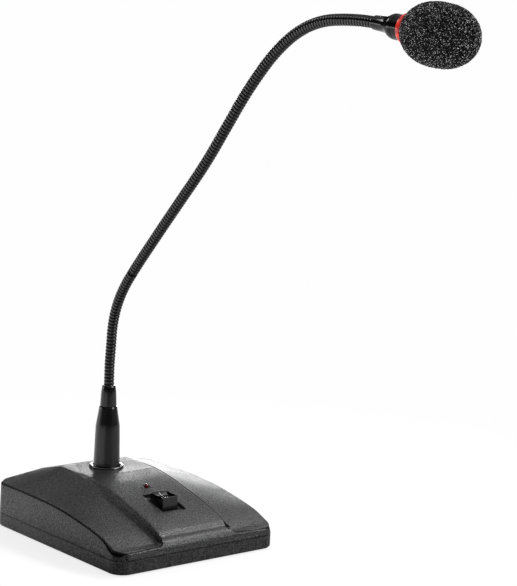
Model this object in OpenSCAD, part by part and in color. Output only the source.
// Gooseneck desk microphone with a lit ring, foam windscreen and a weighted switch base.
// Frame: origin on the desk plane under the middle of the base, +Z up,
// -Y towards the talker (front), +X to the right when seen from the front.

/* [Base] */
// Width of the base, left to right
base_w = 121; // [117:1:131]
// Depth of the base, front to rear
base_d = 136.4; // [133:0.1:143]
// Height of the stem deck above the desk
deck_z = 38; // [37:0.1:40]
// Height of the parting line between tray and cover
parting_z = 8.8; // [8:0.1:9.5]
// Corner radius of the base in plan
corner_r = 9.5; // [8.5:0.5:13]
// Wall thickness of the plastic shells
wall = 2.2; // [2:0.1:2.4]
// Half width of the raised centre panel
panel_hw = 25.5; // [24:0.5:27]
// Gap under the tray, set by the feet
foot_gap = 0.5; // [0.4:0.1:1]

/* [Switch and lamp] */
// Distance of the rocker switch in front of the base centre
switch_y = -30.9; // [-33:0.1:-28]
// Slope of the panel at the switch, degrees
switch_tilt = 14; // [12:0.5:15]
// Rocker tilt at rest, rear end pressed, degrees
rocker_tilt = 12; // [10:0.5:12.5]
// Distance of the lamp in front of the base centre
lamp_y = -10.6; // [-12:0.1:-9]

/* [Stem and gooseneck] */
// Position of the stem, front to rear
stem_y = 31.5; // [30:0.5:33]
// Height where the gooseneck leaves the stem
stem_top = 91; // [89:0.5:93]
// Outside diameter of the gooseneck
neck_d = 6.4; // [6.2:0.1:6.6]
// Bore of the gooseneck
neck_bore = 3; // [2.8:0.1:3.2]
// Clearance between a joint ball and the socket around it
ball_gap = 0.16; // [0.14:0.01:0.2]

/* [Head] */
// Outside diameter of the foam windscreen
foam_d = 33.8; // [32:0.2:36]
// Length of the foam windscreen
foam_len = 46; // [44:0.5:50]
// Outside diameter of the light ring
ring_d = 16.4; // [15.6:0.1:17]
// Outside diameter of the capsule housing
capsule_d = 11.7; // [11.5:0.1:11.9]

/* [Hidden] */
$fn = 48;
half_w = base_w/2;
half_d = base_d/2;
tray_z = foot_gap;
stem_hole_d = 10.1;        // hole of the parts that slide over the stem tube

// main board, and the height of the bosses under it
board_x0 = 10;
board_x1 = 46;
board_y0 = -46;
board_y1 = -2;
board_z = 10.4;
board_t = 1.6;
board_top = board_z + 1.7;
boss_inset = 4;

// [x, y] of the fixings and feet
cover_screw_xy = corners(46, 50);
foot_xy = corners(46, 34);
boss_xy = [for (x = [board_x0 + boss_inset, board_x1 - boss_inset])
  for (y = [board_y0 + boss_inset, board_y1 - boss_inset]) [x, y]];
plate_screw_xy = [[-33, -50], [-33, -4], [0, -53]];

// ---------- helper functions ----------
function corners(x, y) = [for (sx = [-1, 1]) for (sy = [-1, 1]) [sx*x, sy*y]];
function lerp(from, to, part) = from + (to - from)*part;
function clamp01(value) = max(0, min(1, value));
function smooth(value) = let(part = clamp01(value)) part*part*(3 - 2*part);
function secant(line, i) = (line[i+1][1] - line[i][1])/(line[i+1][0] - line[i][0]);
function slope(line, i) =
  (i == 0 || i == len(line) - 1) ? 0 : (secant(line, i-1) + secant(line, i))/2;
// smooth curve through stations [y, z] listed from the rear to the front
function curve(line, y, i = 0) =
  y >= line[0][0] ? line[0][1] :
  y <= line[len(line)-1][0] ? line[len(line)-1][1] :
  y < line[i+1][0] ? curve(line, y, i+1) :
  let(step = line[i+1][0] - line[i][0], part = (y - line[i][0])/step, rest = 1 - part)
    line[i][1]*(1 + 2*part)*rest*rest + slope(line, i)*step*part*rest*rest
    + line[i+1][1]*part*part*(3 - 2*part) - slope(line, i+1)*step*part*part*rest;

// ---------- helper modules ----------
module disc(diameter, bottom, height) {
  translate([0, 0, bottom]) cylinder(d = diameter, h = height);
}
module at_points(points, z = 0) {
  for (p = points) translate([p[0], p[1], z]) children();
}
// children repeated around Z at a radius
module around(count, radius, start = 0) {
  for (i = [0:count-1]) rotate(start + 360*i/count) translate([radius, 0, 0]) children();
}
module rounded_rect(width, depth, radius) {
  square([width - 2*radius, depth], center = true);
  square([width, depth - 2*radius], center = true);
  at_points(corners(width/2 - radius, depth/2 - radius)) circle(radius);
}
module rounded_box(width, depth, height, radius) {
  translate([0, 0, -height/2]) linear_extrude(height) rounded_rect(width, depth, radius);
}
// slab with the base's outline, between two heights
module plan_block(bottom, top, inset = 0) {
  translate([0, 0, bottom]) linear_extrude(top - bottom)
    rounded_rect(base_w - 2*inset, base_d - 2*inset, corner_r - inset);
}
// crossed slots cut in a screw head
module cross_slot(length, width, bottom) {
  for (angle = [0, 90]) rotate(angle)
    translate([-length/2, -width/2, bottom]) cube([length, width, 2]);
}
// round tube swept along a list of points
module tube_path(path, radius, sides = 8) {
  count = len(path);
  function tangent(i) =
    let(step = path[min(count-1, i+1)] - path[max(0, i-1)]) step/norm(step);
  function normal(along) =
    let(other = abs(along[2]) < 0.9 ? [0, 0, 1] : [1, 0, 0], across = cross(along, other))
      across/norm(across);
  points = [for (i = [0:count-1])
    let(along = tangent(i), first = normal(along), second = cross(along, first))
      for (k = [0:sides-1])
        path[i] + radius*(cos(360*k/sides)*first + sin(360*k/sides)*second)];
  polyhedron(points = points, faces = concat(
    [for (i = [0:count-2]) for (k = [0:sides-1])
      [i*sides + k, i*sides + (k+1)%sides, (i+1)*sides + (k+1)%sides]],
    [for (i = [0:count-2]) for (k = [0:sides-1])
      [i*sides + k, (i+1)*sides + (k+1)%sides, (i+1)*sides + k]],
    [[for (k = [sides-1:-1:0]) k]],
    [[for (k = [0:sides-1]) (count-1)*sides + k]]));
}

// ---------- shape of the cover's top ----------
crease_y = -half_d + 6.2;  // where the panel meets the front lip
front_edge_r = 4.3;
side_edge_r = 1.2;
rear_edge_y = 46;          // the panel falls away behind this
rear_fall = 0.27;
shoulder_w = 11;           // width of the blend from panel to wing
// centre panel [y, z]: flat deck, then a convex ramp down to the front lip
panel_line = [[half_d, deck_z], [17, deck_z - 0.1], [-2, deck_z - 2.2], [-22, deck_z - 6.7],
  [-42, deck_z - 12], [-54, deck_z - 16], [-62, deck_z - 19.6], [-half_d - 1, deck_z - 22]];
// outer edge of each wing [y, z]
wing_line = [[half_d, 28.3], [20, 28.1], [-4, 27.0], [-25, 24.6], [-45, 20.6], [-56, 16.8],
  [-half_d - 1, 14.0]];
function panel_height(y) =
  min(curve(panel_line, y), deck_z - max(0, y - rear_edge_y)*rear_fall);
// step down from the panel to the wing, growing towards the front
function wing_drop(y) = 4.6*smooth((38 - y)/72);
// height before the edges are rounded, at a distance from the centre plane
function raw_height(off_x, y) = off_x <= panel_hw ? panel_height(y) :
  let(part = (off_x - panel_hw)/(half_w - panel_hw),
      blend = clamp01((off_x - panel_hw)/shoulder_w),
      wing = lerp(panel_height(y) - wing_drop(y), curve(wing_line, y), part))
    wing + wing_drop(y)*(1 - part)*pow(1 - blend, 3);
// distance inwards from the base's outline
function inside(x, y) =
  let(corner_x = abs(x) - (half_w - corner_r), corner_y = abs(y) - (half_d - corner_r))
    (corner_x > 0 && corner_y > 0) ? corner_r - norm([corner_x, corner_y])
      : min(half_w - abs(x), half_d - abs(y));
function edge_r(y) = lerp(side_edge_r, front_edge_r, smooth((-y - 50)/14));
function top_height(x, y) =
  let(z = raw_height(abs(x), max(y, crease_y)), radius = edge_r(y), depth = max(0, inside(x, y)))
    depth >= radius ? z
      : z - radius + sqrt(max(0, radius*radius - (radius - depth)*(radius - depth)));
// inner surface: a wall below the lowest of the heights nearby
function under_height(x, y) = min([for (dx = [-1.8, 0, 1.8]) for (dy = [-1, 1])
  raw_height(abs(x) + dx, max(y + dy, crease_y))]) - wall;

// grid of the skin: columns from panel edge to outer edge, laid out for a half width of 60
// and stretched to fit, and rows from the rear to the front
column_layout = [25.5, 26.6, 28.4, 31.5, 36, 44, 52, 57.6, 59.2, 60];
half_columns = [for (x = column_layout) panel_hw + (x - 25.5)*(half_w - panel_hw)/(60 - 25.5)];
columns = concat([for (i = [len(half_columns)-1:-1:0]) -half_columns[i]], [0], half_columns);
straight_y = half_d - corner_r;  // the rounded corners start here
rows = concat([half_d], [for (angle = [65, 42, 20]) straight_y + corner_r*sin(angle)],
  [rear_edge_y, 30, 17, 8, 0, -9, -18, -27, -36, -45, -52, -57],
  [crease_y, crease_y - 1.8, -half_d + 2.6, -half_d + 1.2, -half_d + 0.4, -half_d]);
column_count = len(columns);
row_count = len(rows);
fixed_x = 38;              // columns further out follow the rounded outline

// half width of the inset outline at y
function outline_x(y, inset) =
  let(past = abs(y) - straight_y, radius = corner_r - inset)
    half_w - inset - (past > 0 ? radius - sqrt(max(0, pow(radius, 2) - past*past)) : 0);
function column_x(x, y, inset) = abs(x) <= fixed_x ? x :
  sign(x)*(fixed_x
    + (abs(x) - fixed_x)*(outline_x(y, inset) - fixed_x)/(half_w - fixed_x));
function row_y(y, inset) = abs(y) <= straight_y ? y :
  sign(y)*(straight_y + (abs(y) - straight_y)*(corner_r - inset)/corner_r);
// grid indices around the border
function border() = concat(
  [for (i = [0:column_count-1]) i],
  [for (j = [1:row_count-1]) j*column_count + column_count - 1],
  [for (i = [column_count-2:-1:0]) (row_count-1)*column_count + i],
  [for (j = [row_count-2:-1:1]) j*column_count]);
function triangles(quad) = [[quad[0], quad[1], quad[2]], [quad[0], quad[2], quad[3]]];

// the cover's skin as one closed shell: outer top, inner top, outer wall, inner wall, rim
module cover_skin() {
  grid = column_count*row_count;
  edge = border();
  edge_count = len(edge);
  outer = [for (y = rows) for (x = columns)
    let(at_y = row_y(y, 0), at_x = column_x(x, at_y, 0))
      [at_x, at_y, top_height(at_x, at_y)]];
  inner = [for (y = rows) for (x = columns)
    let(at_y = row_y(y, wall), at_x = column_x(x*(half_w - wall)/half_w, at_y, wall))
      [at_x, at_y, under_height(at_x, at_y)]];
  outer_rim = [for (k = edge) [outer[k][0], outer[k][1], parting_z]];
  inner_rim = [for (k = edge) [inner[k][0], inner[k][1], parting_z]];
  low_out = 2*grid;
  low_in = low_out + edge_count;
  cells = [for (j = [0:row_count-2]) for (i = [0:column_count-2]) j*column_count + i];
  ring = [for (k = [0:edge_count-1]) [k, (k+1)%edge_count]];
  quads = concat(
    [for (c = cells) [c, c + 1, c + column_count + 1, c + column_count]],
    [for (c = cells) [c, c + column_count, c + column_count + 1, c + 1] + grid*[1, 1, 1, 1]],
    [for (k = ring) [edge[k[0]], low_out + k[0], low_out + k[1], edge[k[1]]]],
    [for (k = ring) [grid + edge[k[0]], grid + edge[k[1]], low_in + k[1], low_in + k[0]]],
    [for (k = ring) [low_out + k[0], low_in + k[0], low_in + k[1], low_out + k[1]]]);
  polyhedron(points = concat(outer, inner, outer_rim, inner_rim),
    faces = [for (quad = quads) each triangles(quad)]);
}

// ---------- frames of the fitted parts ----------
xlr_z = 19.2;
xlr_r = 10.2;
xlr_screw_x = 13.2;
module at_switch() {
  translate([0, switch_y, panel_height(switch_y)]) rotate([switch_tilt, 0, 0]) children();
}
module at_lamp() {
  translate([1, lamp_y, panel_height(lamp_y)]) rotate([12.5, 0, 0]) children();
}
module at_stem() {
  translate([0, stem_y, 0]) children();
}
// on the rear face, +Z into the base
module at_connector() {
  translate([0, half_d, xlr_z]) rotate([90, 0, 0]) children();
}
module at_xlr_screws() {
  at_connector() for (side = [-1, 1]) translate([side*xlr_screw_x, 0, 0]) children();
}

// ---------- base ----------
switch_flange_w = 17.1;
switch_flange_d = 23.3;
switch_body_w = 13;
switch_body_d = 19.2;
module base_cover() color([0.09, 0.09, 0.1]) difference() {
  union() {
    cover_skin();
    for (p = cover_screw_xy) translate([p[0], p[1], parting_z])
      cylinder(d = 7, h = top_height(p[0], p[1]) - parting_z - 1.5);
    at_switch() translate([0, 0, -3.2]) rounded_box(22, 28, 3.8, 1.5);
    at_stem() disc(24, deck_z - 2.9, 1.6);
  }
  at_stem() disc(stem_hole_d, 20, 30);
  at_switch() {
    translate([0, 0, 3.5]) rounded_box(switch_flange_w + 0.3, switch_flange_d + 0.3, 13, 0.8);
    rounded_box(switch_body_w + 0.2, switch_body_d + 0.2, 24, 0.5);
  }
  at_lamp() disc(4.8, -8, 20);
  at_connector() disc(2*(xlr_r + 0.1), -6, 12);
  at_xlr_screws() disc(2.6, -6, 12);
  at_points(cover_screw_xy, parting_z - 1) cylinder(d = 3, h = 6);
}

// battery bay: a box open below, holding two cells side by side
bay_half_w = 31;
bay_front = 8.6;
bay_rear = 41.6;
bay_depth = bay_rear - bay_front;
bay_top = 18.6;
bay_wall = 1.6;
floor_t = 2;
foot_d = 12;
module base_tray() color([0.08, 0.08, 0.09]) difference() {
  union() {
    difference() {
      hull() {
        plan_block(tray_z + 0.8, parting_z - 0.05);
        plan_block(tray_z, tray_z + 0.5, 0.8);
      }
      plan_block(tray_z + floor_t, parting_z + 1, wall);
    }
    at_points(cover_screw_xy, tray_z) cylinder(d = 9, h = parting_z - tray_z - 0.1);
    at_points(boss_xy, tray_z) cylinder(d = 6, h = board_z - tray_z);
    at_points(plate_screw_xy, tray_z) cylinder(d = 7, h = 3.2);
    translate([-bay_half_w - bay_wall, bay_front - bay_wall, tray_z])
      cube([2*(bay_half_w + bay_wall), bay_depth + 2*bay_wall, bay_top - tray_z + bay_wall]);
  }
  translate([-bay_half_w, bay_front, tray_z - 1])
    cube([2*bay_half_w, bay_depth, bay_top - tray_z + 1]);
  at_points(cover_screw_xy, tray_z - 1) {
    cylinder(d = 6.2, h = 4.6);
    cylinder(d = 3.3, h = 20);
  }
  at_points(boss_xy, board_z - 5) cylinder(d = 2, h = 8);
  at_points(plate_screw_xy, tray_z + 1.2) cylinder(d = 2.5, h = 8);
  at_points(foot_xy, tray_z - 1) cylinder(d = foot_d + 0.3, h = 1.8);
  at_connector() cylinder(r = xlr_r + 0.3, h = 14);
}

module rubber_feet() color([0.13, 0.13, 0.13]) at_points(foot_xy) difference() {
  union() {
    cylinder(d1 = foot_d - 1, d2 = foot_d, h = 0.7);
    disc(foot_d, 0.7, tray_z + 0.75 - 0.7);
  }
  disc(5, -1, 1.5);
}

module cover_screws() color([0.6, 0.6, 0.62])
  at_points(cover_screw_xy, tray_z + 1.6) difference() {
    union() {
      cylinder(d = 5.6, h = 2);
      disc(2.9, 2, 8.4);
    }
    cross_slot(3.2, 0.7, -1);
  }

plate_z = tray_z + 3.3;
plate_t = 4;
module ballast_plate() color([0.45, 0.45, 0.47]) difference() {
  translate([0, -27, plate_z + plate_t/2]) rounded_box(78, 60, plate_t, 3);
  at_points(boss_xy) cylinder(d = 7, h = 20);
  at_points(plate_screw_xy) cylinder(d = 3.2, h = 20);
  translate([40, -50, 0]) cylinder(d = 10, h = 20);
}

module ballast_screws() color([0.62, 0.62, 0.64])
  at_points(plate_screw_xy, plate_z + plate_t) difference() {
    union() {
      disc(5.4, 0.05, 1.8);
      disc(2.4, -5.8, 6);
    }
    cross_slot(3, 0.6, 1.1);
  }

// ---------- battery ----------
module battery_door() color([0.08, 0.08, 0.09]) difference() {
  union() {
    translate([0, (bay_front + bay_rear)/2, tray_z + 0.9])
      rounded_box(2*bay_half_w - 0.5, bay_depth - 0.5, 1.8, 0.6);
    translate([-6, bay_rear - 2.2, tray_z]) cube([12, 1.2, 5]);
    for (side = [-1, 1]) translate([side*20 - 0.6, bay_front + 4, tray_z])
      cube([1.2, 22, 2.6]);
  }
  translate([0, bay_rear - 5, tray_z - 1.2]) rounded_box(14, 4, 3.6, 1.8);
}

// [side of the flat end and its spring, y] of each cell
cells = [[-1, 17.5], [1, 32.7]];
cell_z = tray_z + 10.2;
cell_len = 49;
module aa_cells() color([0.15, 0.3, 0.55]) for (cell = cells)
  translate([cell[0]*25.2, cell[1], cell_z]) rotate([0, -90*cell[0], 0]) {
    cylinder(d = 14.2, h = cell_len);
    disc(5.2, cell_len, 1.3);
  }

contact_t = 0.4;
contact_x = 30.4;
module battery_contacts() color([0.85, 0.85, 0.8])
  for (cell = cells) for (x = [-contact_x - contact_t, contact_x])
    translate([x, cell[1] - 5, tray_z + 4]) cube([contact_t, 10, 12]);

// tapering coils, widest at the contact
spring_turns = 3.5;
spring_steps = 48;
module battery_springs() color([0.8, 0.8, 0.78]) for (cell = cells)
  tube_path([for (i = [0:spring_steps])
    let(part = i/spring_steps, radius = lerp(5, 3, part), angle = 360*spring_turns*part)
      [cell[0]*(30.0 - part*4.0), cell[1] + radius*cos(angle), cell_z + radius*sin(angle)]],
    0.35, 6);

// ---------- main board ----------
module main_board() color([0.1, 0.35, 0.2]) difference() {
  translate([board_x0, board_y0, board_z + 0.05])
    cube([board_x1 - board_x0, board_y1 - board_y0, board_t]);
  at_points(boss_xy) cylinder(d = 2.4, h = 30);
}

// block components: x, y, then size in x, y, z
board_blocks = [[22, -30, 10, 6.4, 3.4], [36, -30, 6, 5, 1.8],
  [18.2, -37, 2.5, 10, 5.6], [31, -42, 8, 2.5, 5.6]];
module board_components() color([0.12, 0.12, 0.13]) translate([0, 0, board_top]) {
  for (b = board_blocks) translate([b[0], b[1], 0]) cube([b[2], b[3], b[4]]);
  at_points([[20, -16], [28, -16], [36, -18]]) cylinder(d = 6.3, h = 8);
  for (i = [0:4]) translate([22 + 3.4*i, -38, 0]) cube([1.8, 3.4, 0.9]);
  for (i = [0:3]) translate([24 + 3.6*i, -9.4, 0]) cube([2, 1.4, 0.8]);
}

module board_screws() color([0.6, 0.6, 0.62]) at_points(boss_xy, board_top) {
  disc(4.2, 0.05, 1.5);
  disc(1.9, -5.6, 5.8);
}

// ---------- leads ----------
// point on a smooth stretch that leaves one place and arrives at the next along its handles
function lead_point(from, leave, to, arrive, part) = let(rest = 1 - part)
  from*pow(rest, 3) + (from + leave)*3*part*pow(rest, 2)
  + (to + arrive)*3*part*part*rest + to*pow(part, 3);
// path through places; each stretch has a [leave, arrive] pair of handles and a step count
function route(places, handles, steps) = concat([places[0]],
  [for (i = [0:len(steps)-1]) for (j = [1:steps[i]])
    lead_point(places[i], handles[i][0], places[i+1], handles[i][1], j/steps[i])]);

// out of the stem, over the battery bay and down to the board
module microphone_lead() {
  tube_path(route(
    [[0, 32, 24.8], [4, 20, 21.9], [16.5, 6, 21.7], [18.6, -5, 13.3]],
    [[[0, -1.6, -3.4], [-1, 6, 0.1]], [[1.2, -5, -0.1], [-3, 4, 0.1]],
      [[1.5, -3, -0.1], [0, 3, 3]]],
    [12, 8, 8]), 1.1, 8);
}
// from the connector's three contacts to the board; the middle one starts lower
module connector_leads() {
  for (i = [-1:1]) {
    start = i == 0 ? [0, 45.1, 16.75] : [3.46*i, 43.8, 21.2];
    first_handles = i == 0 ? [[0, 0, 8.6], [-4.4, 9, 0.6]] : [[0, -3, 0.3], [-3.5, 8, 0.4]];
    tube_path(route(
      [start, [8.6 + 1.5*i, 30, 21.8], [21 + 1.6*i, 6.2, 21.5], [22.6 + 1.6*i, -4, 12.75]],
      [first_handles, [[1, -6, 0], [-2.5, 5, 0.1]], [[0.8, -2.5, 0], [0, 3, 3.5]]],
      [12, 8, 8]), 0.55, 6);
  }
}
module switch_leads() {
  for (i = [0, 1]) tube_path(route(
    [[2.2, -31.2 + 8.8*i, 9.1 + 1.95*i], [18.15, -31.5 + 4*i, board_top + 2.4]],
    [[[3, 0.3, 0.4 - 1.1*i], [-6, 0, 2.6]]], [14]), 0.5, 6);
}
module lamp_leads() {
  for (i = [0, 1]) tube_path(route(
    [[1, -8.2 - 1.15*i, 24.2], [24.7 + 3.2*i, -5.2 - 1.5*i, board_top + 0.5]],
    [[[0.4, 0, -5], [-3, 1.2 - 1.2*i, 6]]], [14]), 0.45, 6);
}
module board_leads() color([0.7, 0.1, 0.1]) {
  microphone_lead();
  connector_leads();
  switch_leads();
  lamp_leads();
}

// ---------- switch ----------
pivot_z = -3.4;
terminal_y = 4.5;
module switch_housing() color([0.05, 0.05, 0.05]) at_switch() difference() {
  union() {
    translate([0, 0, -2.4]) rounded_box(switch_flange_w, switch_flange_d, 1.1, 0.7);
    translate([0, 0, -8.4]) rounded_box(switch_body_w, switch_body_d, 12.2, 0.4);
  }
  translate([0, 0, -3]) rounded_box(11.9, 15.4, 15, 0.3);
  for (side = [-1, 1]) translate([0, side*terminal_y, -12]) cube([5, 1, 8], center = true);
  translate([0, 0, pivot_z]) rotate([0, 90, 0]) cylinder(r = 1.05, h = 12.7, center = true);
}

// rocker in its own frame: pivot on X, dished top with both ends raised
rocker_half_len = 6.5;
rocker_w = 11.4;
// underside of the rocker [y, z], rear to front
rocker_under = [[6.9, 1], [6.2, -3], [2, -5], [-2, -5], [-6.2, -3], [-6.9, 1]];
module rocker_shape() difference() {
  union() {
    rotate([90, 0, 90]) translate([0, 0, -rocker_w/2]) linear_extrude(rocker_w)
      polygon(concat(
        [for (i = [-6:6]) [i*rocker_half_len/6, 6.5 + 1.7*pow(abs(i)/6, 2)]],
        rocker_under));
    rotate([0, 90, 0]) cylinder(r = 1, h = 12.6, center = true);
  }
  // short groove in the rear half of the top
  translate([-0.3, 1.3, 6.3]) rotate([14.7, 0, 0]) cube([0.6, 3.8, 2]);
}
module switch_rocker() color([0.05, 0.05, 0.05])
  at_switch() translate([0, 0, pivot_z]) rotate([-rocker_tilt, 0, 0]) rocker_shape();

module switch_terminals() color([0.85, 0.83, 0.75])
  at_switch() for (side = [-1, 1]) translate([0, side*terminal_y, 0]) {
    translate([0, 0, -14.4]) cube([4.8, 0.8, 8.8], center = true);
    translate([0, 0, -9.85]) cube([7, 2, 1.2], center = true);
  }

// ---------- lamp ----------
led_d = 3;
module power_led() color([0.5, 0.02, 0.03]) at_lamp() difference() {
  union() {
    disc(led_d, -3.6, 4.1);
    translate([0, 0, 0.5]) sphere(d = led_d);
    disc(3.8, -4.4, 1);
  }
  disc(2, -9.4, 5.4);
}
// black clip that holds the lamp in its hole
module lamp_collar() color([0.04, 0.04, 0.04]) at_lamp() difference() {
  union() {
    disc(4.7, -3.3, 2.9);
    disc(5.6, -3.3, 0.6);
  }
  disc(led_d + 0.1, -5, 9);
}

// ---------- connector ----------
module at_pins() {
  at_connector() around(3, 4, 30) children();
}
module xlr_shell() color([0.72, 0.72, 0.74]) difference() {
  at_connector() {
    cylinder(r = xlr_r, h = 20);
    translate([0, 0, wall + 0.2]) intersection() {
      cylinder(r = 16.4, h = 1.5);
      cube([40, 18.4, 10], center = true);
    }
  }
  at_connector() disc(18.8, -1, 30);
  at_xlr_screws() disc(2.9, -1, 12);
}
module xlr_insert() color([0.1, 0.1, 0.1]) difference() {
  at_connector() disc(18.7, 14, 7.5);
  at_pins() disc(1.8, 13, 12);
}
module xlr_pins() color([0.85, 0.68, 0.3]) at_pins() {
  disc(2.4, 2.6, 11.2);
  disc(1.8, 13.8, 10.4);
  translate([0, 0, 1.4]) cylinder(r1 = 0.6, r2 = 1.2, h = 1.2);
}
module xlr_screws() color([0.3, 0.3, 0.31]) at_xlr_screws() translate([0, 0, -0.05]) {
  disc(4.6, -1.2, 1.2);
  cylinder(d = 2.4, h = 6.4);
}

// ---------- stem ----------
tube_z = 25;
sleeve_z = deck_z + 1.25;
module stem_flange() color([0.3, 0.3, 0.31]) at_stem() difference() {
  union() {
    disc(22, deck_z + 0.02, 0.7);
    translate([0, 0, deck_z + 0.72]) cylinder(d1 = 22, d2 = 20.8, h = 0.5);
  }
  cylinder(d = stem_hole_d, h = 99);
}
// profile [radius, z]
module stem_sleeve() color([0.06, 0.06, 0.06]) at_stem() rotate_extrude() polygon([
  [stem_hole_d/2, sleeve_z], [8.85, sleeve_z], [8.85, sleeve_z + 2.4], [8.35, sleeve_z + 3.2],
  [8.1, sleeve_z + 12], [7.7, stem_top - 26], [5.65, stem_top - 13.5],
  [4.55, stem_top - 13.5], [4.55, stem_top - 34], [stem_hole_d/2, stem_top - 34]]);
module stem_tube() color([0.7, 0.7, 0.72]) at_stem() difference() {
  disc(10, tube_z, stem_top - 34.2 - tube_z);
  cylinder(d = 6, h = 99);
}
module stem_nut() color([0.7, 0.7, 0.68]) at_stem() difference() {
  translate([0, 0, deck_z - 9.6]) cylinder(d = 16.2, h = 5.4, $fn = 6);
  cylinder(d = stem_hole_d, h = 99);
}
module stem_washer() color([0.75, 0.75, 0.72]) at_stem() difference() {
  disc(17, deck_z - 4.1, 1.1);
  cylinder(d = 10.15, h = 99);
}
// profile [radius, z from the stem's top]
module strain_relief() color([0.04, 0.04, 0.04])
  at_stem() translate([0, 0, stem_top]) rotate_extrude() polygon([
    [3.3, -33.4], [4.5, -33.4], [4.5, -13.4], [5.3, -13.4], [5.2, -11.4], [4.8, -4],
    [4.25, -0.6], [4.0, 0], [3.3, 0]]);

// ---------- gooseneck ----------
// arcs from the stem to the head: [length, forward bend in degrees]
neck_bends = [[9, 0], [10, 5], [13, -1.7], [28, 26.6], [15, 10], [20, 2.6], [70, 1.1],
  [35, -5.5], [26, 0.4], [36, 7.6], [23, 11], [40, 29.2], [20, 5], [12.5, 4.1], [80, 0]];
neck_len = 357.5;          // visible length, stem to ferrule
neck_lean = 0;             // it leaves the stem upright
joint_first = 9;
joint_pitch = 24;
joint_count = 15;
anchor_len = 33;           // length hidden in the stem
core_d = 2.2;              // cable core
neck_r = neck_d/2;
socket_r = neck_r + ball_gap;
socket_rise = sqrt(socket_r*socket_r - neck_r*neck_r) + 0.02;
core_start = socket_r + 0.2;
// [y, z, lean] of the gooseneck's centre line at a distance along it
function neck_at(distance, i = 0, place = [stem_y, stem_top], lean = neck_lean) =
  let(arc_len = neck_bends[i][0], bend = neck_bends[i][1],
      travel = min(distance, arc_len), turn = bend*travel/arc_len,
      straight = abs(bend) < 0.01,
      radius = straight ? 0 : arc_len/(bend*PI/180),
      move = straight ? [-travel*sin(lean), travel*cos(lean)]
        : [-radius*(cos(lean) - cos(lean + turn)), radius*(sin(lean + turn) - sin(lean))])
    distance <= arc_len || i == len(neck_bends) - 1
      ? [place[0] + move[0], place[1] + move[1], lean + turn]
      : neck_at(distance - arc_len, i + 1, place + move, lean + bend);
function joint_at(k) = neck_at(joint_first + (k - 1)*joint_pitch);
module along(y, z, lean) {
  translate([0, y, z]) rotate([lean, 0, 0]) children();
}
// one rigid length: socket at 0, optional ball at the far end, cable core inside
module neck_link(length, ball) {
  difference() {
    union() {
      disc(neck_d, socket_rise, length - socket_rise);
      if (ball) translate([0, 0, length]) sphere(r = neck_r);
    }
    sphere(r = socket_r);
    disc(neck_bore, -1, length + 12);
  }
  disc(core_d, core_start, length + (ball ? 2 : 0) - core_start);
}
// link from one centre-line place towards another
module neck_span(from, to, extra = 0, ball = true) {
  dy = to[0] - from[0];
  dz = to[1] - from[1];
  along(from[0], from[1], atan2(-dy, dz)) neck_link(norm([dy, dz]) + extra, ball);
}
module neck_segment(k) color([0.07, 0.07, 0.07]) neck_span(joint_at(k), joint_at(k + 1));
module neck_end() color([0.07, 0.07, 0.07])
  neck_span(joint_at(joint_count), neck_at(neck_len), extra = 4.6, ball = false);
module neck_anchor() color([0.07, 0.07, 0.07])
  at_stem() translate([0, 0, stem_top - anchor_len]) {
    difference() {
      union() {
        cylinder(r = neck_r, h = anchor_len + joint_first);
        translate([0, 0, anchor_len + joint_first]) sphere(r = neck_r);
      }
      disc(neck_bore, -1, 60);
    }
    disc(core_d, -27, 62 + joint_first);
  }

// ---------- head ----------
// own frame: +Z towards the talker, 0 where the gooseneck ends; profiles are [radius, z]
capsule_r = capsule_d/2;
ring_r = ring_d/2;
seat_r = capsule_r + 0.03;  // light ring's seat around the housing
module at_head() {
  end = neck_at(neck_len);
  along(end[0], end[1], end[2]) children();
}
module head_ferrule() color([0.05, 0.05, 0.05]) at_head() rotate_extrude() polygon([
  [3.45, 0], [3.9, 0], [4.35, 8], [5.1, 11], [6.45, 14], [6.8, 15.2], [6.9, 22.1],
  [6.15, 22.1], [6.15, 17], [2, 15.4], [2, 6], [3.45, 6]]);
module ring_board() color([0.1, 0.35, 0.2]) at_head() difference() {
  disc(12.1, 18, 1);
  cylinder(r = 1.8, h = 40);
}
module ring_leds() color([0.95, 0.3, 0.2])
  at_head() around(6, 4.4) translate([0, 0, 19.5]) cube([1.6, 2, 0.8], center = true);
module light_ring() color([1, 0.22, 0.12]) at_head() rotate_extrude() polygon([
  [2.4, 20.3], [6.1, 20.3], [6.1, 22.15], [ring_r - 0.5, 22.15], [ring_r, 22.7],
  [ring_r, 25.4], [ring_r - 0.5, 25.9], [seat_r, 25.9], [seat_r, 23], [2.4, 23]]);
module capsule_housing() color([0.15, 0.15, 0.16]) at_head() rotate_extrude() polygon([
  [2.6, 23.05], [capsule_r, 23.05], [capsule_r, 45], [5.2, 45], [5.2, 24], [2.6, 24]]);
module capsule_boot() color([0.1, 0.1, 0.1]) at_head() rotate_extrude() polygon([
  [3, 36.4], [5.15, 36.4], [5.15, 44.6], [4.88, 44.6], [4.88, 37.6], [3, 37.6]]);
module electret_capsule() color([0.8, 0.8, 0.8]) at_head() difference() {
  disc(9.7, 37.7, 6.5);
  around(6, 2.6) disc(0.9, 43.4, 2);
}
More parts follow.
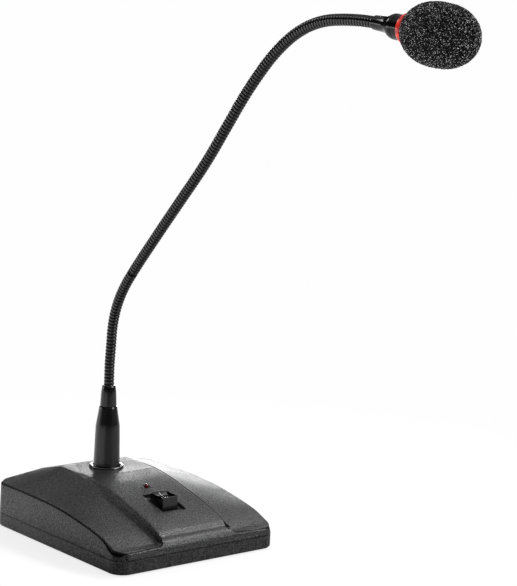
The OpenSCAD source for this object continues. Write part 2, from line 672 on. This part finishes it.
module capsule_grille() color([0.2, 0.2, 0.2]) at_head() difference() {
  union() {
    disc(capsule_d, 45.05, 1.2);
    difference() {
      disc(10.3, 44.65, 0.5);
      disc(8.8, 43.65, 3);
    }
  }
  around(6, 1.9) disc(1, 40, 9);
  around(6, 3.6, 30) disc(1, 40, 9);
  disc(1, 40, 9);
}

foam_z = 26;
foam_cut = 0.035;          // part of the full foam shape cut off flat at the rear
foam_steps = 22;
foam_bore_r = capsule_r + 0.25;
function foam_r(part) = foam_d/2*sqrt(max(0, 1 - pow(abs(2*part - 1), 2.4)));
module foam_windscreen() color([0.05, 0.05, 0.05]) at_head() rotate_extrude() polygon(concat(
  [[0, 47.2], [foam_bore_r, 47.2], [foam_bore_r, foam_z], [foam_r(foam_cut), foam_z]],
  [for (i = [1:foam_steps]) let(along = (1 - cos(180*i/foam_steps))/2)
    [i == foam_steps ? 0 : foam_r(lerp(foam_cut, 1, along)), foam_z + foam_len*along]]));

base_cover();
base_tray();
rubber_feet();
cover_screws();
ballast_plate();
ballast_screws();
battery_door();
aa_cells();
battery_contacts();
battery_springs();
main_board();
board_components();
board_screws();
board_leads();
switch_housing();
switch_rocker();
switch_terminals();
power_led();
lamp_collar();
xlr_shell();
xlr_insert();
xlr_pins();
xlr_screws();
stem_tube();
stem_nut();
stem_washer();
stem_flange();
stem_sleeve();
strain_relief();
neck_anchor();
neck_segment(1);  // neck_segment_01
neck_segment(2);  // neck_segment_02
neck_segment(3);  // neck_segment_03
neck_segment(4);  // neck_segment_04
neck_segment(5);  // neck_segment_05
neck_segment(6);  // neck_segment_06
neck_segment(7);  // neck_segment_07
neck_segment(8);  // neck_segment_08
neck_segment(9);  // neck_segment_09
neck_segment(10);  // neck_segment_10
neck_segment(11);  // neck_segment_11
neck_segment(12);  // neck_segment_12
neck_segment(13);  // neck_segment_13
neck_segment(14);  // neck_segment_14
neck_end();
head_ferrule();
light_ring();
ring_board();
ring_leds();
capsule_housing();
capsule_boot();
electret_capsule();
capsule_grille();
foam_windscreen();
